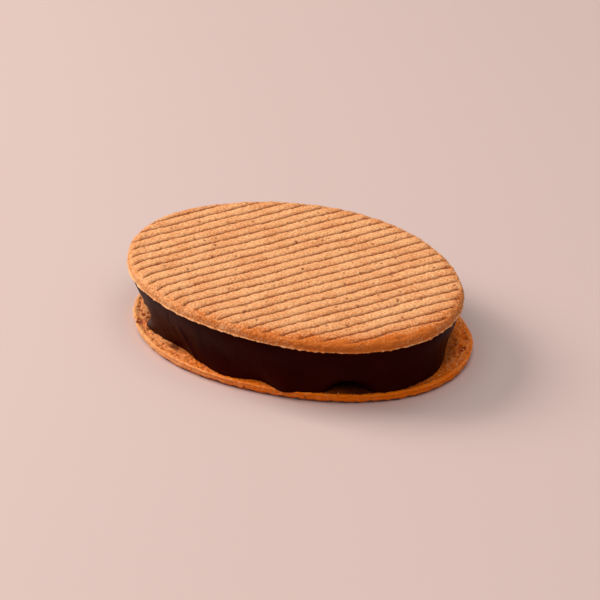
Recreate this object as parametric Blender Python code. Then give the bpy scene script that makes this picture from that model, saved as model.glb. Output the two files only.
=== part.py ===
"""An oval ice cream sandwich: a chocolate-coated filling between two thin ridged biscuits.

Units are metres, +Z is up and +X runs along the sandwich. The origin is on the surface that it
stands on, under its middle. Both biscuits come from one mould: each has rounded ridges on its
outer side, which cross it at a slant, and a flat side that faces the filling.
"""

import math

import bmesh
import bpy
from mathutils import Matrix, Vector

MM = 0.001

# Where the three layers lie, from the surface up
BISCUIT_THICKNESS = 2.8 * MM
FILLING_HEIGHT = 14.5 * MM
REST_GAP = 0.3 * MM
MIDDLE = Vector((0.4 * MM, -1.34 * MM, 0))
TOP_BISCUIT_SHIFT = Vector((-0.89 * MM, 0.12 * MM, 0))
TOP_BISCUIT_TURN = math.radians(1.3)
LOWER_BISCUIT_SHIFT = Vector((0.03 * MM, 1.38 * MM, 0))
LOWER_BISCUIT_TURN = math.radians(6.3)

# A biscuit's outline: half its length and width, and how far each three and five lobed swell
# moves it in and out, as shares of its size
BISCUIT_HALF_LENGTH = 47.65 * MM
BISCUIT_HALF_WIDTH = 33.37 * MM
BISCUIT_SWELLS = ((3, -0.007, -0.018), (5, 0.001, 0.004))

# The ridges of a biscuit, and the rim round them
RIDGE_PITCH = 3.53 * MM
RIDGE_HEIGHT = 0.6 * MM
RIDGE_TURN = math.radians(51.8)
RIDGE_FAN = 0.33 * MM / (30 * MM) ** 2
GROOVE_PHASE = 0.11
LINES_IN_A_RIDGE = 4
STEPS_ALONG_A_RIDGE = 18
RIM_WIDTH = 2.0 * MM
RIM_DROP = 1.5 * MM
LIP = 0.3 * MM
LIP_HEIGHT = 0.45 * MM
BARE_RIM = 1.9 * MM
RIM_SWING = 1.0 * MM
DISH_DEPTH = 0.3 * MM
DISH_SLOPE = 3.0 * MM

# The filling: an oval block that flares under the top biscuit, with chocolate run down at its foot
FILLING_HALF_LENGTH = 43.6 * MM
FILLING_HALF_WIDTH = 29.9 * MM
TOP_FLARE = 1.4 * MM
LEFT_END_REACH = 2.7 * MM
LEFT_END_BEARING = -156
LEFT_END_SPREAD = 22
FOOT_ROUNDING = 0.4 * MM
FILLING_SIDES = 120
FILLING_LEVELS = (0, 0.4, 1.1, 2.2, 3.8, 6.5, 9.5, 12.3, 14.1, 14.5)

# Each run of chocolate at the foot: bearing and half width in degrees, reach and height
DRIPS = (
    (-150, 8, -4.0 * MM, 4.5 * MM),
    (-137, 9, 1.8 * MM, 3.5 * MM),
    (-116, 8, -1.0 * MM, 4.0 * MM),
    (-101, 7, 1.4 * MM, 3.5 * MM),
    (-85, 6, -1.5 * MM, 3.0 * MM),
    (-75, 5, 1.4 * MM, 5.0 * MM),
    (-62, 8, -0.1 * MM, 4.0 * MM),
    (-50, 5.5, -5.6 * MM, 3.4 * MM),
    (-33, 9, 0.6 * MM, 4.0 * MM),
    (2, 12, -0.8 * MM, 5.0 * MM),
    (38, 9, 1.2 * MM, 4.0 * MM),
    (66, 6, -1.6 * MM, 2.6 * MM),
    (84, 9, 1.4 * MM, 4.0 * MM),
    (118, 7, -1.4 * MM, 3.0 * MM),
    (136, 8, 1.0 * MM, 4.0 * MM),
    (174, 9, -1.2 * MM, 3.4 * MM),
)

CHOCOLATE_COLOUR = (0.020, 0.006, 0.004, 1)
RIDGED_SIDE_COLOUR = (0.70, 0.32, 0.13, 1)
INNER_SIDE_COLOUR = (0.52, 0.20, 0.065, 1)
CHOCOLATE_ROUGHNESS = 0.35
BISCUIT_ROUGHNESS = 0.75


class Oval:
    """An ellipse whose outline swells and draws in a little, as baked dough does."""

    def __init__(self, half_length, half_width, swells):
        self.half_length = half_length
        self.half_width = half_width
        self.swells = swells

    def swell(self, bearing):
        """The outline's distance from the centre at this bearing, as a share of the ellipse's."""
        return 1 + sum(c * math.cos(n * bearing) + s * math.sin(n * bearing) for n, c, s in self.swells)

    def point(self, bearing):
        share = self.swell(bearing)
        return (
            self.half_length * math.cos(bearing) * share,
            self.half_width * math.sin(bearing) * share,
        )

    def bearing(self, x, y):
        return math.atan2(y / self.half_width, x / self.half_length)

    def share(self, x, y):
        """0 at the centre and 1 on the outline."""
        reach = math.hypot(x / self.half_length, y / self.half_width)
        return reach / self.swell(self.bearing(x, y))

    def breadth(self, bearing):
        """The ellipse's distance from its centre, square to its edge at this bearing."""
        across = math.hypot(self.half_width * math.cos(bearing), self.half_length * math.sin(bearing))
        return self.half_length * self.half_width / across

    def inset(self, x, y):
        """How far inside the outline a point is."""
        return (1 - self.share(x, y)) * self.breadth(self.bearing(x, y))

    def moved_in(self, x, y, distance):
        """A point of the outline, moved inwards."""
        keep = 1 - distance / self.breadth(self.bearing(x, y))
        return x * keep, y * keep


def smooth_step(low, high, value):
    share = min(max((value - low) / (high - low), 0), 1)
    return share * share * (3 - 2 * share)


def ridge_drift(along, across):
    """How far a ridge strays sideways: they fan out to one side, and the dough flowed a little."""
    long_wave = 0.12 * MM * math.sin(2 * math.pi * (along - 0.5 * across) / (29 * MM) + 0.6)
    short_wave = 0.10 * MM * math.sin(2 * math.pi * (along + 0.8 * across) / (17 * MM) + 2.1)
    return RIDGE_FAN * along * across + long_wave + short_wave


def ridge_profile(phase, crest):
    """The height above the groove's floor, at a phase from 0 in one groove to 1 in the next."""
    off_crest = abs(2 * (phase % 1) - 1)
    return min(1 - off_crest**3, crest) * RIDGE_HEIGHT


def ridged_height(oval, x, y, phase, crest, bare_side):
    """The ridged side's height above the flat side: rounded at the rim, where the ridges fade.

    The ridges stop furthest from the rim on the bare side, which is -1 or 1 along Y.
    """
    inset = max(oval.inset(x, y) - LIP, 0)
    short = max(1 - inset / RIM_WIDTH, 0)
    rounding = RIM_DROP * (1 - math.sqrt(1 - short**2))
    groove = crest * RIDGE_HEIGHT - ridge_profile(phase, crest)
    bare = BARE_RIM + RIM_SWING * bare_side * math.sin(oval.bearing(x, y))
    return BISCUIT_THICKNESS - rounding - groove * smooth_step(0, bare, inset)


def end_of_line(oval, across, middle, direction, along_axis, across_axis):
    """The distance along a ridge at which it meets the rim's inner edge, found by halving."""

    def inside(along):
        spot = along * along_axis + (across + ridge_drift(along, across)) * across_axis
        return oval.inset(spot.x, spot.y) > LIP

    near = middle
    far = middle + direction * 2 * oval.half_length
    for _ in range(40):
        half = (near + far) / 2
        if inside(half):
            near = half
        else:
            far = half
    return near


def ridge_lines(oval):
    """Yields each line of points along the ridges as (phase, points), from one side to the other."""
    along_axis = Vector((math.cos(RIDGE_TURN), math.sin(RIDGE_TURN)))
    across_axis = Vector((-along_axis.y, along_axis.x))
    spread = (oval.half_length * across_axis.x) ** 2 + (oval.half_width * across_axis.y) ** 2
    slant = (oval.half_length**2 - oval.half_width**2) * across_axis.x * across_axis.y / -spread
    first, last = ends_across(oval, across_axis)
    places = [first + LIP + 0.1 * MM, first + LIP + 0.45 * MM]
    step = RIDGE_PITCH / LINES_IN_A_RIDGE
    number = math.ceil((places[-1] + 0.3 * MM) / step - GROOVE_PHASE * LINES_IN_A_RIDGE)
    while (number + GROOVE_PHASE * LINES_IN_A_RIDGE) * step < last - LIP - 0.75 * MM:
        places.append((number + GROOVE_PHASE * LINES_IN_A_RIDGE) * step)
        number += 1
    places += [last - LIP - 0.45 * MM, last - LIP - 0.1 * MM]
    for across in places:
        middle = -slant * across
        low = end_of_line(oval, across, middle, -1, along_axis, across_axis)
        high = end_of_line(oval, across, middle, 1, along_axis, across_axis)
        points = []
        for i in range(STEPS_ALONG_A_RIDGE + 1):
            share = (1 - math.cos(math.pi * i / STEPS_ALONG_A_RIDGE)) / 2
            along = low + (high - low) * share
            points.append(along * along_axis + (across + ridge_drift(along, across)) * across_axis)
        yield across / RIDGE_PITCH - GROOVE_PHASE, points


def ends_across(oval, across_axis):
    """How far the outline reaches to either side of its centre, square to the ridges."""
    turns = [math.radians(degree) for degree in range(360)]
    reach = [Vector(oval.point(turn)).dot(across_axis) for turn in turns]
    return min(reach), max(reach)


def pole(oval, sign):
    """The point of the rim's inner edge that is furthest to one side, square to the ridges."""
    across_axis = Vector((-math.sin(RIDGE_TURN), math.cos(RIDGE_TURN)))
    turns = [math.radians(degree) for degree in range(360)]
    points = [Vector(oval.moved_in(*oval.point(turn), LIP)) for turn in turns]
    return max(points, key=lambda point: sign * point.dot(across_axis))


def biscuit_mesh(name, crest, bare_side, dish):
    """A biscuit with its ridged side up and its flat side at height 0."""
    oval = Oval(BISCUIT_HALF_LENGTH, BISCUIT_HALF_WIDTH, BISCUIT_SWELLS)
    mesh = bmesh.new()
    rows = []
    for phase, points in ridge_lines(oval):
        heights = [ridged_height(oval, p.x, p.y, phase, crest, bare_side) for p in points]
        rows.append([mesh.verts.new((p.x, p.y, height)) for p, height in zip(points, heights)])
    edge_height = BISCUIT_THICKNESS - RIM_DROP
    start = mesh.verts.new((*pole(oval, -1), edge_height))
    finish = mesh.verts.new((*pole(oval, 1), edge_height))
    for lower, upper in zip(rows, rows[1:]):
        for i in range(STEPS_ALONG_A_RIDGE):
            mesh.faces.new((lower[i], lower[i + 1], upper[i + 1], upper[i]))
    for i in range(STEPS_ALONG_A_RIDGE):
        mesh.faces.new((start, rows[0][i + 1], rows[0][i]))
        mesh.faces.new((finish, rows[-1][i], rows[-1][i + 1]))

    rim = [edge for edge in mesh.edges if edge.is_boundary]
    profile = [(0.0, LIP_HEIGHT), (0.3 * LIP, 0.1 * MM), (LIP + 0.1 * MM, 0.0)]
    if dish:
        profile.append((DISH_SLOPE, DISH_DEPTH))
    reached = LIP
    for inset, height in profile:
        made = bmesh.ops.extrude_edge_only(mesh, edges=rim)["geom"]
        for vert in [item for item in made if isinstance(item, bmesh.types.BMVert)]:
            x, y = oval.moved_in(vert.co.x, vert.co.y, inset - reached)
            vert.co = (x, y, height)
        rim = [item for item in made if isinstance(item, bmesh.types.BMEdge) and item.is_boundary]
        reached = inset
    bmesh.ops.edgeloop_fill(mesh, edges=rim)
    return finished(mesh, name)


def finished(mesh, name):
    """The mesh as Blender data, closed, with its faces pointing out and its round parts smooth."""
    bmesh.ops.recalc_face_normals(mesh, faces=mesh.faces)
    data = bpy.data.meshes.new(name)
    mesh.to_mesh(data)
    mesh.free()
    data.shade_smooth()
    data.set_sharp_from_angle(angle=math.radians(50))
    return data


def filling_reach(bearing, height):
    """How far the filling's side stands out from its oval, at a bearing and a height above its foot."""
    left_end = math.exp(-((turn_between(bearing, LEFT_END_BEARING) / LEFT_END_SPREAD) ** 2))
    reach = LEFT_END_REACH * left_end + TOP_FLARE * smooth_step(0.3, 0.95, height / FILLING_HEIGHT)
    for place, half_width, out, up in DRIPS:
        sideways = turn_between(bearing, place) / half_width
        reach += out * math.exp(-(sideways**2) - (height / up) ** 2)
    short = max(FOOT_ROUNDING - height, 0)
    return reach - (FOOT_ROUNDING - math.sqrt(FOOT_ROUNDING**2 - short**2))


def turn_between(bearing, degrees):
    """The turn in degrees from a named bearing to this one, from -180 to 180."""
    return (math.degrees(bearing) - degrees + 180) % 360 - 180


def filling_mesh(name):
    """The filling as rings of points from its foot to its top, bridged and capped."""
    mesh = bmesh.new()
    rings = []
    for level in FILLING_LEVELS:
        height = level * MM
        lean = TOP_BISCUIT_SHIFT * height / FILLING_HEIGHT
        ring = []
        for i in range(FILLING_SIDES):
            bearing = 2 * math.pi * i / FILLING_SIDES
            reach = filling_reach(bearing, height)
            x = (FILLING_HALF_LENGTH + reach) * math.cos(bearing)
            y = (FILLING_HALF_WIDTH + reach) * math.sin(bearing)
            ring.append(mesh.verts.new((x + lean.x, y + lean.y, height)))
        rings.append(ring)
    for lower, upper in zip(rings, rings[1:]):
        for i in range(FILLING_SIDES):
            after = (i + 1) % FILLING_SIDES
            mesh.faces.new((lower[i], lower[after], upper[after], upper[i]))
    mesh.faces.new(list(reversed(rings[0])))
    mesh.faces.new(rings[-1])
    return finished(mesh, name)


def material(name, colour, roughness):
    made = bpy.data.materials.new(name)
    made.use_nodes = True
    shader = made.node_tree.nodes["Principled BSDF"]
    shader.inputs["Base Color"].default_value = colour
    shader.inputs["Roughness"].default_value = roughness
    shader.inputs["Metallic"].default_value = 0.0
    return made


def node(name, data, look, place, turn):
    """One named layer, placed so that the whole sandwich is centred on the origin."""
    data.materials.append(look)
    made = bpy.data.objects.new(name, data)
    made.matrix_world = Matrix.Translation(place + MIDDLE) @ turn
    bpy.context.scene.collection.objects.link(made)
    return made


def build():
    for old in list(bpy.data.objects):
        bpy.data.objects.remove(old)

    # The lower biscuit lies on its ridges, whose crests are pressed flat where they carry it
    node(
        "lower_biscuit",
        biscuit_mesh("lower_biscuit", crest=0.875, bare_side=1, dish=True),
        material("baked_biscuit_inner_side", INNER_SIDE_COLOUR, BISCUIT_ROUGHNESS),
        LOWER_BISCUIT_SHIFT + Vector((0, 0, BISCUIT_THICKNESS)),
        Matrix.Rotation(LOWER_BISCUIT_TURN, 4, "Z") @ Matrix.Rotation(math.pi, 4, "Y"),
    )

    # The filling stands in the lower biscuit's shallow dish
    filling_foot = Vector((0, 0, BISCUIT_THICKNESS - DISH_DEPTH + REST_GAP))
    node(
        "chocolate_filling",
        filling_mesh("chocolate_filling"),
        material("dark_chocolate", CHOCOLATE_COLOUR, CHOCOLATE_ROUGHNESS),
        filling_foot,
        Matrix.Identity(4),
    )

    # The top biscuit lies on the filling, ridges up, turned a little against the lower one
    top_foot = filling_foot + Vector((0, 0, FILLING_HEIGHT + REST_GAP))
    node(
        "top_biscuit",
        biscuit_mesh("top_biscuit", crest=1.0, bare_side=-1, dish=False),
        material("baked_biscuit_ridged_side", RIDGED_SIDE_COLOUR, BISCUIT_ROUGHNESS),
        TOP_BISCUIT_SHIFT + top_foot,
        Matrix.Rotation(TOP_BISCUIT_TURN, 4, "Z"),
    )


build()
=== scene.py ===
"""The looks of an oval ice cream sandwich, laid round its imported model.

Lengths are in metres. The sandwich stands on z = 0, +Z is up and +X runs along it. The file follows
it as it is put together: lower biscuit, chocolate filling, top biscuit, loose crumbs, then the set.
"""

import itertools
import math

import bmesh
import bpy
import numpy as np
from mathutils import Matrix, Vector
from mathutils.geometry import delaunay_2d_cdt


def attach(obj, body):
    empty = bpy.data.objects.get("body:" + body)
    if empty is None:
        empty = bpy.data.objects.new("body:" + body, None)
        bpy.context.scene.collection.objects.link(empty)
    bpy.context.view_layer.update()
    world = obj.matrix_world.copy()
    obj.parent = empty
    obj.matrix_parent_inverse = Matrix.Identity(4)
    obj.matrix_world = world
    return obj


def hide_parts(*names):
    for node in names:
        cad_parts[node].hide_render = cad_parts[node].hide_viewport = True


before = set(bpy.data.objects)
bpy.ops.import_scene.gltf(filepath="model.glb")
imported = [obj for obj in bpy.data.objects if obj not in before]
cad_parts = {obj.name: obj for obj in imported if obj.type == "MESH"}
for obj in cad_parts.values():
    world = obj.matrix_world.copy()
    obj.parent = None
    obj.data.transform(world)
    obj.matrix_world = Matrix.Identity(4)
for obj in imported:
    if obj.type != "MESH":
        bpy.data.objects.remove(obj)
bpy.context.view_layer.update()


# Lower biscuit
# A thin oval of egg batter baked in a ridged mould, which lies on its ridges with its flat side up.
# That side is open crumb, torn into pores and hollows where steam left it, inside a smooth raised rim.

MM = 0.001

# The filling's centre, from the middle of the whole sandwich's outline
MIDDLE = Vector((0.4 * MM, -1.34 * MM, 0))
BISCUIT_THICKNESS = 2.8 * MM
BISCUIT_HALF_LENGTH = 47.65 * MM
BISCUIT_HALF_WIDTH = 33.37 * MM
RIDGE_PITCH = 3.53 * MM
RIDGE_HEIGHT = 0.60 * MM
RIDGE_TURN = math.radians(51.8)
# A ridge strays by 0.33 mm where it is 30 mm along and 30 mm across from the centre
RIDGE_FAN = 0.33 * MM / (30 * MM) ** 2
# How far the groove nearest the centre lies from it, in pitches
GROOVE_PHASE = 0.11
# Where the mould closed last, as a bearing in degrees
CLOSED_LAST_AT = -128
# The rim rounds down over this width and by this drop, and a thin flange stands out past it
RIM_WIDTH = 2.0 * MM
RIM_DROP = 1.5 * MM
LIP = 0.3 * MM
RIM_SIDES = 1050

# The rim from the end of its rounding to the flat side, as insets and heights in millimetres: a low
# wall, then the thin sloping flange where the mould's halves met
RIM_PROFILE = (
    (0.28, 1.05),
    (0.29, 0.80),
    (0.30, 0.62),
    (0.26, 0.54),
    (0.15, 0.43),
    (0.04, 0.31),
    (0.0, 0.18),
    (0.06, 0.06),
    (0.24, 0.0),
)

# A table of noise holds this many draws, and the primes scatter the cells' numbers over it
TABLE_SIZE = 8192
PRIMES = (73856093, 19349663, 83492791)


def smooth_step(low, high, value):
    """From 0 at `low` to 1 at `high`, soft at both ends."""
    share = np.clip((value - low) / (high - low), 0, 1)
    return share * share * (3 - 2 * share)


def bump_at(value, middle, half_width):
    """A soft bump, 1 at its middle."""
    return np.exp(-(((value - middle) / half_width) ** 2))


def degrees_from(bearing, degrees):
    """The turn in degrees from a named bearing, from -180 to 180."""
    return (np.degrees(bearing) - degrees + 180) % 360 - 180


def lumps(points, size, seed):
    """Smooth noise from -1 to 1 at each point, whose lumps are about `size` across."""
    table = np.random.default_rng(seed).uniform(-1, 1, TABLE_SIZE)
    cell = np.floor(points / size).astype(np.int64)
    share = points / size - cell
    share = share * share * (3 - 2 * share)
    total = np.zeros(len(points))
    for corner in itertools.product((0, 1), repeat=3):
        x, y, z = (cell + corner).T
        weight = np.prod(np.where(corner, share, 1 - share), axis=1)
        total += weight * table[(x * PRIMES[0] ^ y * PRIMES[1] ^ z * PRIMES[2]) % TABLE_SIZE]
    return total


def spots(x, y, spacing, seed):
    """The distance to the nearest of scattered spots, in spacings, and that spot's number, 0 to 1."""
    table = np.random.default_rng(seed).uniform(0, 1, (TABLE_SIZE, 3))
    cell_x = np.floor(x / spacing).astype(np.int64)
    cell_y = np.floor(y / spacing).astype(np.int64)
    nearest = np.full(len(x), np.inf)
    own = np.zeros(len(x))
    for right, away in itertools.product((-1, 0, 1), repeat=2):
        spot_x = cell_x + right
        spot_y = cell_y + away
        draw = table[(spot_x * PRIMES[0] ^ spot_y * PRIMES[1]) % TABLE_SIZE]
        distance = np.hypot(spot_x + draw[:, 0] - x / spacing, spot_y + draw[:, 1] - y / spacing)
        closer = distance < nearest
        nearest = np.where(closer, distance, nearest)
        own = np.where(closer, draw[:, 2], own)
    return nearest, own


def holes(x, y, spacing, radius, share, seed):
    """How deep in a round hole each point is, 0 to 1, where this share of the spots is a hole."""
    distance, own = spots(x, y, spacing, seed)
    # No two holes are quite the same size, up to the full radius
    reach = radius / spacing * (0.55 + 0.45 * own / share)
    return np.where(own < share, np.clip(1 - (distance / reach) ** 2, 0, 1), 0)


def swell(bearing):
    """How the baked outline wanders from a true ellipse, as a share of its size."""
    three = -0.007 * np.cos(3 * bearing) - 0.018 * np.sin(3 * bearing)
    five = 0.001 * np.cos(5 * bearing) + 0.004 * np.sin(5 * bearing)
    return 1 + three + five


def breadth(bearing):
    """The ellipse's distance from its centre, square to its edge."""
    across = np.hypot(BISCUIT_HALF_WIDTH * np.cos(bearing), BISCUIT_HALF_LENGTH * np.sin(bearing))
    return BISCUIT_HALF_LENGTH * BISCUIT_HALF_WIDTH / across


def outline(bearing, inset):
    """The biscuit's outline, moved in by `inset`."""
    keep = swell(bearing) * (1 - inset / breadth(bearing))
    return BISCUIT_HALF_LENGTH * np.cos(bearing) * keep, BISCUIT_HALF_WIDTH * np.sin(bearing) * keep


def inset_of(x, y):
    """How far inside the outline each point is, and its bearing."""
    bearing = np.arctan2(y / BISCUIT_HALF_WIDTH, x / BISCUIT_HALF_LENGTH)
    share = np.hypot(x / BISCUIT_HALF_LENGTH, y / BISCUIT_HALF_WIDTH) / swell(bearing)
    return (1 - share) * breadth(bearing), bearing


def ridge_drift(along, across):
    """How far a ridge strays sideways: they fan out to one side, and the batter flowed a little."""
    long_wave = 0.12 * MM * np.sin(2 * math.pi * (along - 0.5 * across) / (29 * MM) + 0.6)
    short_wave = 0.10 * MM * np.sin(2 * math.pi * (along + 0.8 * across) / (17 * MM) + 2.1)
    return RIDGE_FAN * along * across + long_wave + short_wave


def ridge_phase(x, y):
    """0 in one groove and 1 in the next."""
    along = x * math.cos(RIDGE_TURN) + y * math.sin(RIDGE_TURN)
    measured = y * math.cos(RIDGE_TURN) - x * math.sin(RIDGE_TURN)
    across = measured
    # A point is known after it has drifted. Five rounds find closely enough where it was before.
    for _ in range(5):
        across = measured - ridge_drift(along, across)
    return across / RIDGE_PITCH - GROOVE_PHASE


def ridged_side(x, y, crest, bare_rim, wider_front, hook, seed):
    """The ridged side's height over the flat side, and how deep in a groove or hole each point is.

    The grooves run out at `bare_rim` inside the flange, and by `wider_front` more on the front.
    `crest` is the share of its height where a ridge is pressed flat, and `hook` bends its end.
    """
    inset, bearing = inset_of(x, y)
    inside = np.maximum(inset - LIP, 0)
    short = np.clip(1 - inside / RIM_WIDTH, 0, 1)
    rounding = RIM_DROP * (1 - np.sqrt(1 - short**2))
    flat = np.column_stack((x, y, np.zeros(len(x))))
    phase = ridge_phase(x, y)
    phase = phase + 0.035 * lumps(flat, 1.1 * MM, seed) + 0.035 * lumps(flat, 4.0 * MM, seed + 1)
    # The soft batter dragged the ridges' ends round, on the side where the mould closed last
    dragged = hook * bump_at(degrees_from(bearing, CLOSED_LAST_AT), 0, 32)
    phase = phase + dragged * np.clip(1 - inside / (5.5 * MM), 0, 1) ** 2
    off_crest = np.abs(2 * (phase % 1) - 1)
    # Each ridge is a shallow arch, so the groove between two is a sharp crease, cracked along its foot
    groove = RIDGE_HEIGHT * (crest - np.minimum(1 - off_crest**3.2, crest))
    crack = (0.28 + 0.16 * lumps(flat, 1.2 * MM, seed + 6)) * MM * bump_at(off_crest, 1, 0.08)
    bare = bare_rim - wider_front * np.sin(bearing) + 0.3 * bare_rim * lumps(flat, 3.0 * MM, seed + 2)
    fade = smooth_step(0.25 * bare, bare, inside)
    pits = holes(x, y, 3.2 * MM, 0.52 * MM, 0.25, seed + 3)
    pinholes = holes(x, y, 1.0 * MM, 0.22 * MM, 0.35, seed + 4)
    sound = smooth_step(0.1 * MM, 0.6 * MM, inside)
    waves = 0.05 * MM * lumps(flat, 7.0 * MM, seed + 5)
    # The batter shrank most at the rim, so a groove that runs out over it scallops the edge
    scalloped = 1 + bump_at(inside, 0.9 * MM, 0.7 * MM)
    relief = waves - (groove * scalloped + crack) * fade - 0.40 * MM * pits - 0.14 * MM * pinholes
    # The material darkens grooves and holes by this depth, partly as browning and partly as painted
    # shade
    in_groove = fade * (bump_at(off_crest, 1, 0.12) + 0.25 * bump_at(off_crest, 1, 0.30))
    in_hole = in_groove + 1.3 * pits + 0.5 * pinholes
    return BISCUIT_THICKNESS - rounding + relief * sound, np.clip(in_hole, 0, 1)


# Hollows torn in the lower biscuit's flat side: place, half length, half width and turn in degrees
# in the biscuit's own frame, and depth
TORN_HOLLOWS = (
    (41.0 * MM, -15.6 * MM, 1.7 * MM, 1.0 * MM, -60, 0.75 * MM),
    (41.6 * MM, -11.9 * MM, 0.8 * MM, 0.5 * MM, 20, 0.6 * MM),
    (39.8 * MM, -12.6 * MM, 0.9 * MM, 0.6 * MM, -50, 0.8 * MM),
    (39.3 * MM, -14.6 * MM, 0.7 * MM, 0.5 * MM, -30, 0.7 * MM),
    (-44.6 * MM, 3.2 * MM, 1.9 * MM, 1.1 * MM, 70, 0.7 * MM),
    (-42.3 * MM, 4.4 * MM, 1.1 * MM, 0.6 * MM, 60, 0.6 * MM),
    (-43.4 * MM, 8.4 * MM, 1.0 * MM, 0.6 * MM, 20, 0.5 * MM),
    (-43.2 * MM, -1.2 * MM, 1.2 * MM, 0.5 * MM, -10, 0.4 * MM),
)


def flat_side(x, y, dish_depth, open_crumb, seed):
    """The flat side's height over its plane, inwards positive, and how deep in a hole each point is."""
    inset, bearing = inset_of(x, y)
    flat = np.column_stack((x, y, np.zeros(len(x))))
    dish = dish_depth * smooth_step(0.6 * MM, 2.2 * MM, inset)
    # Steam ran out towards the rim, so the pores are stretched that way
    outwards = np.column_stack((np.cos(bearing), np.sin(bearing)))
    along = x * outwards[:, 0] + y * outwards[:, 1]
    across = BISCUIT_HALF_WIDTH * bearing
    torn = smooth_step(0.7 * MM, 1.5 * MM, inset + 0.4 * MM * lumps(flat, 1.8 * MM, seed))
    pores = holes(along / 1.6, across, 0.70 * MM, 0.44 * MM, 0.75, seed + 1)
    fine = holes(along / 1.3, across, 0.46 * MM, 0.28 * MM, 0.6, seed + 2)
    drawn_out = np.column_stack((along / 4, across, np.zeros(len(x))))
    swells = 0.12 * MM * lumps(flat, 1.6 * MM, seed + 3)
    swells = swells + 0.12 * MM * lumps(drawn_out, 0.65 * MM, seed + 6)
    # The crumb is coarsest at both ends, where it tore, and finest between them
    coarse = bump_at(degrees_from(bearing, -18), 0, 24)
    coarse = coarse + 0.9 * bump_at(degrees_from(bearing, 174), 0, 18)
    chunks = coarse * holes(x, y, 1.9 * MM, 1.15 * MM, 0.8, seed + 7)
    pores = pores * (1 - 0.6 * coarse)
    depth = open_crumb * torn * (0.22 * MM * pores + 0.13 * MM * fine + 0.60 * MM * chunks + swells)
    hollows = np.zeros(len(x))
    for place_x, place_y, half_length, half_width, turn, deep in TORN_HOLLOWS:
        cosine = math.cos(math.radians(turn))
        sine = math.sin(math.radians(turn))
        lengthwise = ((x - place_x) * cosine + (y - place_y) * sine) / half_length
        sideways = ((y - place_y) * cosine - (x - place_x) * sine) / half_width
        ragged = np.hypot(lengthwise, sideways) * (1 + 0.35 * lumps(flat, 0.8 * MM, seed + 4))
        hollows = np.maximum(hollows, deep * np.clip(1 - ragged**2, 0, 1) ** 0.7)
    depth = depth + open_crumb * hollows
    # The material darkens holes by this depth, partly as browning and partly as painted shade
    in_hole = open_crumb * torn * (0.45 * pores + 0.3 * fine + 0.45 * chunks)
    in_hole = in_hole + 0.6 * hollows / (0.7 * MM)
    return dish + depth, np.clip(in_hole, 0, 1)


def skin(x, y):
    """Triangles over points in a plane, which face +Z."""
    made = delaunay_2d_cdt([Vector(point) for point in zip(x, y)], [], [], 0, 1e-9)
    given = [origins[0] for origins in made[3]]
    return [[given[corner] for corner in face] for face in made[2]]


def ridge_points(phases, step, keep_in):
    """Points along the ridges, at these phases of each, which lie at least `keep_in` inside."""
    reach = BISCUIT_HALF_LENGTH + BISCUIT_HALF_WIDTH
    ridges = np.arange(-14, 15)
    across = ((ridges[:, None] + np.array(phases) + GROOVE_PHASE) * RIDGE_PITCH).ravel()
    along, across = np.meshgrid(np.arange(-reach, reach, step), across)
    along[1::2] += step / 2
    sideways = across + ridge_drift(along, across)
    x = along * math.cos(RIDGE_TURN) - sideways * math.sin(RIDGE_TURN)
    y = along * math.sin(RIDGE_TURN) + sideways * math.cos(RIDGE_TURN)
    inside = inset_of(x, y)[0] > keep_in
    return x[inside], y[inside]


def rings(bearings, insets):
    """Rings of points, each the outline moved in by its inset, with every other one half a step on."""
    half_step = 0.5 * (bearings[1] - bearings[0])
    found = [outline(bearings + half_step * (i % 2), inset) for i, inset in enumerate(insets)]
    return np.concatenate([ring[0] for ring in found]), np.concatenate([ring[1] for ring in found])


def write(mesh, name, values):
    """Keeps a value for each of the mesh's points, which its material may read."""
    mesh.attributes.new(name, "FLOAT", "POINT").data.foreach_set("value", values)


def read(mesh, name):
    """The values that were kept for the mesh's points."""
    values = np.empty(len(mesh.vertices), np.float32)
    mesh.attributes[name].data.foreach_get("value", values)
    return values


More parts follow.
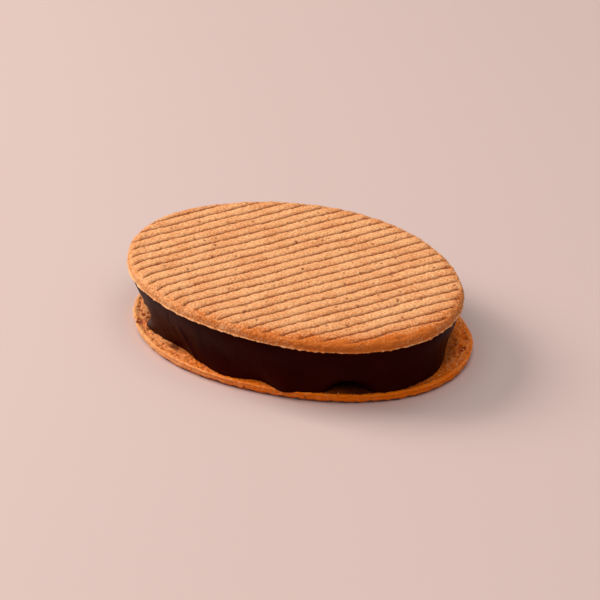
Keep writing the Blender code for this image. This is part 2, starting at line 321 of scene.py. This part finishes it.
def biscuit_mesh(name, ridged, flat, ridge_phases, ridge_step, flat_insets, pressed_at, seed):
    """A closed biscuit, ridged side up. `ridged` and `flat` give each side's relief."""
    bearings = np.linspace(-math.pi, math.pi, RIM_SIDES, endpoint=False)
    # The ridged side starts with the rings of its rounding, from the lowest one up
    turns = np.radians((90, 80, 70, 60, 50, 41, 32, 24, 16, 8))
    rounded = [LIP + RIM_WIDTH * (1 - math.sin(turn)) for turn in turns]
    rim_x, rim_y = rings(bearings, rounded)
    in_x, in_y = ridge_points(ridge_phases, ridge_step, rounded[-1] + 0.15 * MM)
    top_x = np.append(rim_x, in_x)
    top_y = np.append(rim_y, in_y)
    top_height, top_deep = ridged(top_x, top_y)
    places = [np.column_stack((top_x, top_y, top_height))]
    deep = [top_deep]
    faces = skin(top_x, top_y)

    start = 0
    for inset, height in RIM_PROFILE:
        x, y = outline(bearings, inset * MM)
        base = sum(len(part) for part in places)
        places.append(np.column_stack((x, y, np.full(RIM_SIDES, height * MM))))
        deep.append(np.zeros(RIM_SIDES))
        for i in range(RIM_SIDES):
            after = (i + 1) % RIM_SIDES
            faces.append([start + after, start + i, base + i, base + after])
        start = base

    fine_x, fine_y = rings(bearings, [RIM_PROFILE[-1][0] * MM, *flat_insets])
    coarse = np.arange(-BISCUIT_HALF_LENGTH, BISCUIT_HALF_LENGTH, 1.5 * MM)
    coarse_x, coarse_y = [axis.ravel() for axis in np.meshgrid(coarse, coarse)]
    inner = inset_of(coarse_x, coarse_y)[0] > flat_insets[-1] + 0.8 * MM
    low_x = np.append(fine_x, coarse_x[inner])
    low_y = np.append(fine_y, coarse_y[inner])
    inwards, low_deep = flat(low_x, low_y)
    for face in skin(low_x, low_y):
        faces.append([corner + start for corner in reversed(face)])
    # The flat side's first ring is the rim's last, whose points are there already
    places.append(np.column_stack((low_x, low_y, inwards))[RIM_SIDES:])
    deep.append(low_deep[RIM_SIDES:])

    places = np.concatenate(places)
    mesh = bpy.data.meshes.new(name)
    mesh.from_pydata(places, [], faces)
    mesh.update()
    normals = np.empty(len(places) * 3)
    mesh.vertices.foreach_get("normal", normals)
    inset, bearing = inset_of(places[:, 0], places[:, 1])
    at_rim = bump_at(inset, 0, 0.8 * MM)
    grain = 0.045 * lumps(places, 1.7 * MM, seed + 10) + 0.085 * lumps(places, 0.8 * MM, seed + 11)
    grain += 0.075 * lumps(places, 0.45 * MM, seed + 12)
    ragged = 0.10 * lumps(places, 3.2 * MM, seed + 13) + 0.16 * lumps(places, 1.0 * MM, seed + 14)
    out = (grain + at_rim * ragged - 0.08 * at_rim) * MM
    places = places + normals.reshape(-1, 3) * out[:, None]
    # The highest crests are pressed flat, on the mould or on what the sandwich lies on
    places[:, 2] = np.minimum(places[:, 2], BISCUIT_THICKNESS + pressed_at)
    mesh.vertices.foreach_set("co", places.ravel())
    write(mesh, "deep", np.concatenate(deep))
    write(mesh, "inset", inset / MM)
    write(mesh, "bearing", np.degrees(bearing))
    mesh.shade_smooth()
    return mesh


def linear(code):
    """A colour's linear values and an alpha of 1, from its sRGB hex code."""
    parts = [int(code[i : i + 2], 16) / 255 for i in (1, 3, 5)]
    return (*[p / 12.92 if p <= 0.04045 else ((p + 0.055) / 1.055) ** 2.4 for p in parts], 1)


def add(tree, kind, settings=None, values=None, links=None):
    """Adds a node, with its settings, its sockets' values, and its links from other nodes' outputs.

    Some sockets go by number. A range node has its value at 0, the range that it comes from at 1 and
    2, and the one that it goes to at 3 and 4. A colour mix has its share at 0 and its colours at 6
    and 7, and a sum or product has its terms at 0 and 1.
    """
    node = tree.nodes.new(kind)
    for setting, value in (settings or {}).items():
        setattr(node, setting, value)
    for socket, value in (values or {}).items():
        node.inputs[socket].default_value = value
    for socket, output in (links or {}).items():
        tree.links.new(output, node.inputs[socket])
    return node


def baked_batter(name, pale, browned, scorched_and_shaded):
    """Egg batter baked in a mould: matt and dry, darker in its grooves, its crumb's hollows and at its
    rim, partly from browning and partly from painted shade and light.

    To the eye it is an even tan, speckled by its grain, with darker grooves and an orange edge.
    """
    made = bpy.data.materials.new(name)
    made.use_nodes = True
    tree = made.node_tree
    shader = tree.nodes["Principled BSDF"]
    place = add(tree, "ShaderNodeTexCoord").outputs["Object"]
    deep = add(tree, "ShaderNodeAttribute", {"attribute_name": "deep"}).outputs["Fac"]
    # Read from the mesh: depth in grooves and holes, browning with painted light and shade, and the
    # painted shade beside the filling
    toast_and_painted_light = add(tree, "ShaderNodeAttribute", {"attribute_name": "toast_and_painted_light"}).outputs["Fac"]
    foot_shade_and_smear = add(tree, "ShaderNodeAttribute", {"attribute_name": "foot_shade_and_smear"}).outputs["Fac"]

    # Patches of batter 7 mm across that browned a little more
    patches = add(
        tree,
        "ShaderNodeTexNoise",
        values={"Scale": 1 / (7 * MM), "Detail": 3.0},
        links={"Vector": place},
    ).outputs["Fac"]
    # The crumb's grain, 0.55 mm across, and its finest specks, 0.3 mm across
    grain = add(
        tree,
        "ShaderNodeTexNoise",
        values={"Scale": 1 / (0.55 * MM), "Detail": 2.0},
        links={"Vector": place},
    ).outputs["Fac"]
    fine = add(
        tree,
        "ShaderNodeTexNoise",
        values={"Scale": 1 / (0.3 * MM), "Detail": 1.0},
        links={"Vector": place},
    ).outputs["Fac"]
    patch_share = add(
        tree, "ShaderNodeMapRange", values={1: 0.35, 2: 0.65, 3: -0.12, 4: 0.12}, links={0: patches}
    ).outputs[0]
    grain_share = add(
        tree, "ShaderNodeMapRange", {"clamp": False}, {1: 0.3, 2: 0.7, 3: -0.20, 4: 0.58}, {0: grain}
    ).outputs[0]
    bake_and_painted_light = add(
        tree, "ShaderNodeMath", {"operation": "ADD"}, links={0: patch_share, 1: grain_share}
    ).outputs[0]
    # Each point's browning from the mesh, with its painted shade and painted light, is added
    bake_and_painted_light = add(
        tree, "ShaderNodeMath", {"operation": "ADD", "use_clamp": True}, links={0: bake_and_painted_light, 1: toast_and_painted_light}
    ).outputs[0]
    # Sparse pale flecks in what browned least, where the grain stands highest
    fleck = add(
        tree, "ShaderNodeMapRange", values={1: 0.62, 2: 0.74, 3: 0.0, 4: 0.5}, links={0: fine}
    ).outputs[0]
    speckled = add(
        tree, "ShaderNodeMix", {"data_type": "RGBA"}, {6: linear(pale), 7: linear("#FFD094")}, {0: fleck}
    ).outputs[2]
    tan = add(
        tree, "ShaderNodeMix", {"data_type": "RGBA"}, {7: linear(browned)}, {0: bake_and_painted_light, 6: speckled}
    ).outputs[2]
    # Grooves and holes go towards the scorched colour: partly browning, and partly painted shade where
    # light hardly reaches them
    deep_share = add(tree, "ShaderNodeMath", {"operation": "MULTIPLY"}, {1: 0.85}, {0: deep}).outputs[0]
    colour = add(
        tree, "ShaderNodeMix", {"data_type": "RGBA"}, {7: linear(scorched_and_shaded)}, {0: deep_share, 6: tan}
    ).outputs[2]
    # Painted shade beside the filling: a band round its foot, near black under its wide notch, and a few
    # blotches that are partly smeared chocolate and partly painted contact shade
    colour = add(
        tree, "ShaderNodeMix", {"data_type": "RGBA"}, {7: linear("#3A0800")}, {0: foot_shade_and_smear, 6: colour}
    ).outputs[2]
    bump = add(
        tree,
        "ShaderNodeBump",
        values={"Strength": 1.0, "Distance": 0.32 * MM},
        links={"Height": grain},
    ).outputs["Normal"]
    bump = add(
        tree,
        "ShaderNodeBump",
        values={"Strength": 1.0, "Distance": 0.16 * MM},
        links={"Height": fine, "Normal": bump},
    ).outputs["Normal"]
    tree.links.new(colour, shader.inputs["Base Color"])
    tree.links.new(bump, shader.inputs["Normal"])
    shader.inputs["Roughness"].default_value = 0.82
    shader.inputs["Specular IOR Level"].default_value = 0.10
    return made


def lay(mesh, material, place, turn):
    """Lays a piece where it belongs in the whole sandwich."""
    mesh.transform(Matrix.Translation(place + MIDDLE) @ turn)
    mesh.materials.append(material)
    piece = bpy.data.objects.new(mesh.name, mesh)
    bpy.context.scene.collection.objects.link(piece)
    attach(piece, "root")
    return piece


lower_mesh = biscuit_mesh(
    "lower_biscuit_baked",
    ridged=lambda x, y: ridged_side(
        x, y, crest=0.875, bare_rim=0.45 * MM, wider_front=0.0, hook=0.0, seed=20
    ),
    flat=lambda x, y: flat_side(x, y, dish_depth=0.3 * MM, open_crumb=1.0, seed=40),
    ridge_phases=(0.0, 0.08, 0.25, 0.5, 0.75, 0.92),
    ridge_step=0.75 * MM,
    flat_insets=np.arange(0.5, 10.5, 0.24) * MM,
    pressed_at=-0.005 * MM,
    seed=60,
)
lower_inset = read(lower_mesh, "inset")
lower_bearing = np.radians(read(lower_mesh, "bearing"))
# Browning with painted light and shade: darker along the front and towards its right, where shade
# falls, and paler at the left end and on the rim near it, where the window light falls. Bearings are in
# the biscuit's own frame, before it is turned over.
write(
    lower_mesh,
    "toast_and_painted_light",
    0.50
    + 0.45 * bump_at(degrees_from(lower_bearing, -125), 0, 60)
    - 0.50 * bump_at(degrees_from(lower_bearing, -20), 0, 35)
    - 0.40 * bump_at(lower_inset, 0.2, 0.35) * bump_at(degrees_from(lower_bearing, -40), 0, 60),
)
# Painted shade on the crumb beside the filling's foot: a band round it, and near black under its wide
# notch, where the chocolate overhangs it
by_notch = bump_at(degrees_from(lower_bearing, -128), 0, 26)
shade_and_smear_by_foot = 0.4 * smooth_step(3.2, 5.2, lower_inset) * (1 - by_notch)
shade_and_smear_by_foot += 0.97 * smooth_step(0.8, 1.9, lower_inset) * by_notch

# Dark blotches beside the foot, partly smeared chocolate and partly painted contact shade: bearing
# and half width in degrees, and inset in millimetres
SMEARS_AND_CONTACT_SHADE = (
    (-51, 4.0, 2.9),
    (-68, 3.0, 3.0),
    (-75, 2.5, 1.9),
    (-36, 3.0, 3.0),
)
for place, half_width, inset in SMEARS_AND_CONTACT_SHADE:
    blotch = bump_at(degrees_from(lower_bearing, place), 0, half_width)
    shade_and_smear_by_foot = np.maximum(shade_and_smear_by_foot, 0.85 * blotch * smooth_step(inset, inset + 0.8, lower_inset))
write(lower_mesh, "foot_shade_and_smear", shade_and_smear_by_foot)
LOWER_PLACE = Vector((0.03 * MM, 1.38 * MM, BISCUIT_THICKNESS))
LOWER_TURN = Matrix.Rotation(math.radians(6.3), 4, "Z") @ Matrix.Rotation(math.pi, 4, "Y")
open_crumb_batter = baked_batter("baked_batter_open_crumb", "#FFB87A", "#F67808", "#9E2C00")
lower_biscuit = lay(lower_mesh, open_crumb_batter, LOWER_PLACE, LOWER_TURN)
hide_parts("lower_biscuit")


# Chocolate filling
# A block of ice cream dipped in dark couverture, which set in soft waves down its side. It ran down to
# a scalloped foot on the lower biscuit, and folded over itself in a few creases near one end.

FILLING_HALF_LENGTH = 43.6 * MM
FILLING_HALF_WIDTH = 29.9 * MM
FILLING_HEIGHT = 14.5 * MM
TOP_FLARE = 1.4 * MM
FOOT_ROUNDING = 0.4 * MM
FILLING_FOOT = 2.8 * MM
TOP_LEAN = Vector((-0.89 * MM, 0.12 * MM, 0))
FILLING_SIDES = 900
FILLING_LEVELS = 56
# How far the coating sinks into each biscuit's crumb
SUNK = 0.32 * MM

# Each run of chocolate at the foot: bearing and half width in degrees, reach and height
DRIPS = (
    (-150, 8, -4.8 * MM, 4.5 * MM),
    (-144, 6, 2.6 * MM, 2.3 * MM),
    (-121, 10, -1.1 * MM, 4.0 * MM),
    (-99, 6, 1.1 * MM, 3.5 * MM),
    (-85, 6, -1.5 * MM, 3.0 * MM),
    (-75, 5, 1.4 * MM, 5.0 * MM),
    (-62, 8, -0.1 * MM, 4.0 * MM),
    (-54, 5, -4.2 * MM, 3.0 * MM),
    (-47.5, 5, -4.2 * MM, 3.0 * MM),
    (-33, 9, 0.6 * MM, 4.0 * MM),
    (14, 16, -1.8 * MM, 4.6 * MM),
    (44, 9, 1.2 * MM, 4.0 * MM),
    (66, 6, -1.6 * MM, 2.6 * MM),
    (84, 9, 1.4 * MM, 4.0 * MM),
    (118, 7, -1.4 * MM, 3.0 * MM),
    (136, 8, 1.0 * MM, 4.0 * MM),
    (174, 9, -1.2 * MM, 3.4 * MM),
)

# Each crease: bearing in degrees and height at its upper and lower end, how far it stands out, and
# its half width
CREASES = (
    (-118.2, 7.4 * MM, -112.0, 0.4 * MM, 0.55 * MM, 0.9 * MM),
    (-124.6, 7.2 * MM, -121.6, 4.2 * MM, 0.22 * MM, 0.5 * MM),
    (-121.5, 12.5 * MM, -124.2, 7.0 * MM, -0.10 * MM, 0.5 * MM),
    (-81.6, 4.9 * MM, -78.0, 1.0 * MM, 0.22 * MM, 1.2 * MM),
    (-4.5, 6.5 * MM, -1.0, 2.5 * MM, 0.12 * MM, 0.8 * MM),
)


def crease(bearing, height, first, high, last, low, out, half_width):
    """A crease's relief: a ridge along a line down the side, soft at both its ends."""
    size = FILLING_HALF_LENGTH * math.pi / 180
    line = np.array([(last - first) * size, low - high])
    spot_x = degrees_from(bearing, first) * size
    spot_y = height - high
    share = np.clip((spot_x * line[0] + spot_y * line[1]) / (line @ line), 0, 1)
    aside = np.hypot(spot_x - share * line[0], spot_y - share * line[1])
    soft_ends = 0.4 + 0.6 * np.sin(math.pi * np.clip(share, 0.05, 0.95))
    return out * bump_at(aside, 0, half_width) * soft_ends


def filling_reach(bearing, height):
    """How far the filling's side stands out from its oval, at a bearing and a height above its foot."""
    # The block is fuller at its front left, and flares out more at its right end
    reach = 2.7 * MM * bump_at(degrees_from(bearing, -156), 0, 22)
    flare = TOP_FLARE + 1.1 * MM * bump_at(degrees_from(bearing, 15), 0, 30)
    reach += flare * smooth_step(0.3, 0.95, height / FILLING_HEIGHT)
    for place, half_width, out, up in DRIPS:
        reach += out * bump_at(degrees_from(bearing, place), 0, half_width) * bump_at(height, 0, up)
    short = np.clip(FOOT_ROUNDING - height, 0, FOOT_ROUNDING)
    reach -= FOOT_ROUNDING - np.sqrt(FOOT_ROUNDING**2 - short**2)
    for line in CREASES:
        reach += crease(bearing, height, *line)
    return reach


sides = np.linspace(-math.pi, math.pi, FILLING_SIDES, endpoint=False)
# The levels lie closest together at the foot, where the runs of chocolate are
levels = np.linspace(0, 1, FILLING_LEVELS) ** 1.15 * FILLING_HEIGHT
bearing, height = [axis.ravel() for axis in np.meshgrid(sides, levels)]
reach = filling_reach(bearing, height)
around = np.column_stack(
    (FILLING_HALF_LENGTH * np.cos(bearing), FILLING_HALF_WIDTH * np.sin(bearing), 0.45 * height)
)
reach += 0.16 * MM * lumps(around, 7.0 * MM, 80) + 0.07 * MM * lumps(around, 2.8 * MM, 81)
reach += 0.012 * MM * lumps(around, 0.9 * MM, 82)
lean = height / FILLING_HEIGHT
# The side runs on a little at its foot and its top, so that it sinks into both biscuits' crumb
stretched = FILLING_FOOT - SUNK + height * (FILLING_HEIGHT + 2 * SUNK + 0.04 * MM) / FILLING_HEIGHT
wall = np.column_stack(
    (
        (FILLING_HALF_LENGTH + reach) * np.cos(bearing) + TOP_LEAN.x * lean,
        (FILLING_HALF_WIDTH + reach) * np.sin(bearing) + TOP_LEAN.y * lean,
        stretched,
    )
)
filling_faces = []
for level in range(FILLING_LEVELS - 1):
    base = level * FILLING_SIDES
    above = base + FILLING_SIDES
    for i in range(FILLING_SIDES):
        after = (i + 1) % FILLING_SIDES
        filling_faces.append([base + i, base + after, above + after, above + i])
filling_faces.append(list(range(FILLING_SIDES))[::-1])
filling_faces.append(list(range(len(wall) - FILLING_SIDES, len(wall))))
filling_mesh = bpy.data.meshes.new("chocolate_coating")
filling_mesh.from_pydata(wall, [], filling_faces)
filling_mesh.shade_smooth()
filling_mesh.set_sharp_from_angle(angle=math.radians(50))
# The thick toe at the left set slowly against the cold block, and kept a gloss
write(
    filling_mesh,
    "gloss",
    bump_at(degrees_from(bearing, -147), 0, 11) * bump_at(height, 1.8 * MM, 3.0 * MM)
    + 0.06 * bump_at(degrees_from(bearing, -120), 0, 12),
)


def set_couverture(name, colour, bloom):
    """Dark couverture, poured and set cold: cocoa butter gives it a satin face, not a wet one.

    To the eye it is near black with a red cast and wide soft lights, with a gloss only on its toe.
    """
    made = bpy.data.materials.new(name)
    made.use_nodes = True
    tree = made.node_tree
    shader = tree.nodes["Principled BSDF"]
    place = add(tree, "ShaderNodeTexCoord").outputs["Object"]
    # Faint bloom in clouds 9 mm across
    clouds = add(
        tree,
        "ShaderNodeTexNoise",
        values={"Scale": 1 / (9 * MM), "Detail": 3.0},
        links={"Vector": place},
    ).outputs["Fac"]
    # Waves left by the pouring, 3 mm across, and fine unevenness as it set, 0.4 mm across
    waves = add(
        tree,
        "ShaderNodeTexNoise",
        values={"Scale": 1 / (3 * MM), "Detail": 2.0},
        links={"Vector": place},
    ).outputs["Fac"]
    pits = add(
        tree,
        "ShaderNodeTexNoise",
        values={"Scale": 1 / (0.4 * MM), "Detail": 2.0},
        links={"Vector": place},
    ).outputs["Fac"]
    mixed = add(
        tree, "ShaderNodeMix", {"data_type": "RGBA"}, {6: linear(colour), 7: linear(bloom)}, {0: clouds}
    ).outputs[2]
    rough = add(
        tree, "ShaderNodeMapRange", values={1: 0.3, 2: 0.7, 3: 0.30, 4: 0.40}, links={0: clouds}
    ).outputs[0]
    bump = add(
        tree,
        "ShaderNodeBump",
        values={"Strength": 1.0, "Distance": 0.08 * MM},
        links={"Height": waves},
    ).outputs["Normal"]
    bump = add(
        tree,
        "ShaderNodeBump",
        values={"Strength": 1.0, "Distance": 0.008 * MM},
        links={"Height": pits, "Normal": bump},
    ).outputs["Normal"]
    gloss = add(tree, "ShaderNodeAttribute", {"attribute_name": "gloss"}).outputs["Fac"]
    tree.links.new(mixed, shader.inputs["Base Color"])
    tree.links.new(rough, shader.inputs["Roughness"])
    tree.links.new(bump, shader.inputs["Normal"])
    tree.links.new(gloss, shader.inputs["Coat Weight"])
    shader.inputs["Coat Roughness"].default_value = 0.30
    shader.inputs["IOR"].default_value = 1.45
    shader.inputs["Specular IOR Level"].default_value = 0.03
    shader.inputs["Specular Tint"].default_value = linear("#B04A38")
    return made


couverture = set_couverture("dark_couverture_set_cold", "#1F0300", "#360A05")
coating = lay(filling_mesh, couverture, Vector((0, 0, 0)), Matrix.Identity(4))
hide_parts("chocolate_filling")


# Top biscuit
# A second biscuit from the same mould, laid on the filling ridges up. Its ridges are rounded, with a
# narrow crack between each two, and they stop short of a plain rim, darker along its front, partly
# browned and partly painted shade.

TOP_FOOT = 17.6 * MM

top_mesh = biscuit_mesh(
    "top_biscuit_baked",
    ridged=lambda x, y: ridged_side(
        x, y, crest=1.0, bare_rim=1.7 * MM, wider_front=0.6 * MM, hook=0.6, seed=120
    ),
    flat=lambda x, y: flat_side(x, y, dish_depth=0.0, open_crumb=0.35, seed=140),
    ridge_phases=(0.0, 0.03, 0.07, 0.13, 0.21, 0.31, 0.42, 0.53, 0.64, 0.74, 0.82, 0.89, 0.94, 0.97),
    ridge_step=0.36 * MM,
    flat_insets=np.arange(0.8, 6.0, 0.6) * MM,
    pressed_at=0.12 * MM,
    seed=160,
)
top_inset = read(top_mesh, "inset")
top_bearing = np.radians(read(top_mesh, "bearing"))
write(top_mesh, "foot_shade_and_smear", np.zeros(len(top_inset)))
# It browned round its rim, and its front rim is darker, partly browned and partly painted shade. Its
# thin flange is painted pale, a painted highlight where it catches the light.
write(
    top_mesh,
    "toast_and_painted_light",
    0.17
    + 0.78 * bump_at(top_inset, 0, 4.4) * bump_at(degrees_from(top_bearing, -48), 0, 50)
    + 0.16 * bump_at(top_inset, 0, 2.5)
    - 0.45 * bump_at(top_inset, 0.05, 0.22),
)
ridged_batter = baked_batter("baked_batter_moulded_ridges", "#F6BE88", "#CA6A26", "#6C2200")
TOP_PLACE = TOP_LEAN + Vector((0, 0, TOP_FOOT))
TOP_TURN = Matrix.Rotation(math.radians(1.3), 4, "Z")
top_biscuit = lay(top_mesh, ridged_batter, TOP_PLACE, TOP_TURN)
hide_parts("top_biscuit")


# Loose crumbs
# Shreds that tore off the lower biscuit's open crumb and stayed on it round the filling, most of
# them at its ends. Each is a rough grain under a millimetre across.

CRUMBS = 90
# The bearings in degrees that the crumbs lie about, and how far they stray from them
CRUMB_BEARINGS = (-20, 174, -100)
CRUMB_STRAY = 16

crumb_draw = np.random.default_rng(17)
ball = bmesh.new()
bmesh.ops.create_icosphere(ball, subdivisions=1, radius=1)
ball_places = np.array([corner.co for corner in ball.verts])
ball_faces = [[corner.index for corner in face.verts] for face in ball.faces]
ball.free()
crumb_places = []
crumb_faces = []
for i in range(CRUMBS):
    crumb_bearing = math.radians(crumb_draw.choice(CRUMB_BEARINGS) + crumb_draw.normal(0, CRUMB_STRAY))
    x, y = outline(crumb_bearing, crumb_draw.uniform(1.2, 3.4) * MM)
    size = crumb_draw.uniform(0.12, 0.30) * MM * np.array((1, crumb_draw.uniform(0.5, 1), 0.6))
    dents = 1 + 0.35 * lumps(ball_places, 0.7, i)
    turn = np.array(Matrix.Rotation(crumb_draw.uniform(0, math.pi), 3, "Z"))
    crumb_places.append((ball_places * dents[:, None] * size) @ turn + (x, y, 0.2 * MM))
    crumb_faces += [[corner + i * len(ball_places) for corner in face] for face in ball_faces]
crumb_mesh = bpy.data.meshes.new("loose_crumbs")
crumb_mesh.from_pydata(np.concatenate(crumb_places), [], crumb_faces)
lay(crumb_mesh, open_crumb_batter, LOWER_PLACE, LOWER_TURN)


# Floor, light and camera
# A plain pale floor under a window-like light from the left and a large soft one overhead, and a
# camera where the photograph was taken from.

VIEW_TURN = math.radians(28.8)
VIEW_ELEVATION = math.radians(33.06)
VIEW_ROLL = math.radians(0.96)
VIEW_DISTANCE = 583.6 * MM
VIEW_AIM = Vector((-6.80 * MM, 12.57 * MM, 0))
VIEW_LENS = 126
FLOOR_REACH = 6.0

to_row = Matrix.Rotation(VIEW_TURN, 4, "Z")


def soft_light(name, place, size, power, colour):
    """A square soft light, placed as the camera sees it: to the right, away from it, and up."""
    light = bpy.data.lights.new(name, "AREA")
    light.size = size
    light.energy = power
    light.color = linear(colour)[:3]
    facing = Vector(place).to_track_quat("Z", "Y").to_matrix().to_4x4()
    lamp = bpy.data.objects.new(name, light)
    lamp.matrix_world = to_row @ Matrix.Translation(place) @ facing
    bpy.context.scene.collection.objects.link(lamp)


soft_light("window_light", (-0.90, 0.32, 0.76), 0.6, 13.0, "#FFF6EE")
soft_light("ceiling_light", (0.0, -0.2, 1.2), 1.4, 12.0, "#FFF8F4")

floor_mesh = bpy.data.meshes.new("floor")
floor_mesh.from_pydata(
    [(x * FLOOR_REACH, y * FLOOR_REACH, 0) for x, y in ((-1, -1), (1, -1), (1, 1), (-1, 1))],
    [],
    [(0, 1, 2, 3)],
)
floor = bpy.data.objects.new("floor", floor_mesh)
bpy.context.scene.collection.objects.link(floor)
floor_paint = bpy.data.materials.new("matt_pale_paint")
floor_paint.use_nodes = True
floor_shader = floor_paint.node_tree.nodes["Principled BSDF"]
floor_shader.inputs["Base Color"].default_value = linear("#CBB5B0")
floor_shader.inputs["Roughness"].default_value = 0.7
floor_mesh.materials.append(floor_paint)

world = bpy.data.worlds.new("studio")
world.use_nodes = True
world.node_tree.nodes["Background"].inputs["Color"].default_value = linear("#F4F6F6")
world.node_tree.nodes["Background"].inputs["Strength"].default_value = 0.19
bpy.context.scene.world = world

lens = bpy.data.cameras.new("camera")
lens.lens = VIEW_LENS
lens.clip_start = 0.01
camera = bpy.data.objects.new("camera", lens)
back = Vector((0, -math.cos(VIEW_ELEVATION), math.sin(VIEW_ELEVATION)))
camera.matrix_world = (
    Matrix.Translation(VIEW_AIM + to_row.to_3x3() @ back * VIEW_DISTANCE)
    @ to_row
    @ Matrix.Rotation(math.pi / 2 - VIEW_ELEVATION, 4, "X")
    @ Matrix.Rotation(-VIEW_ROLL, 4, "Z")
)
bpy.context.scene.collection.objects.link(camera)
bpy.context.scene.camera = camera
bpy.context.scene.view_settings.view_transform = "Standard"
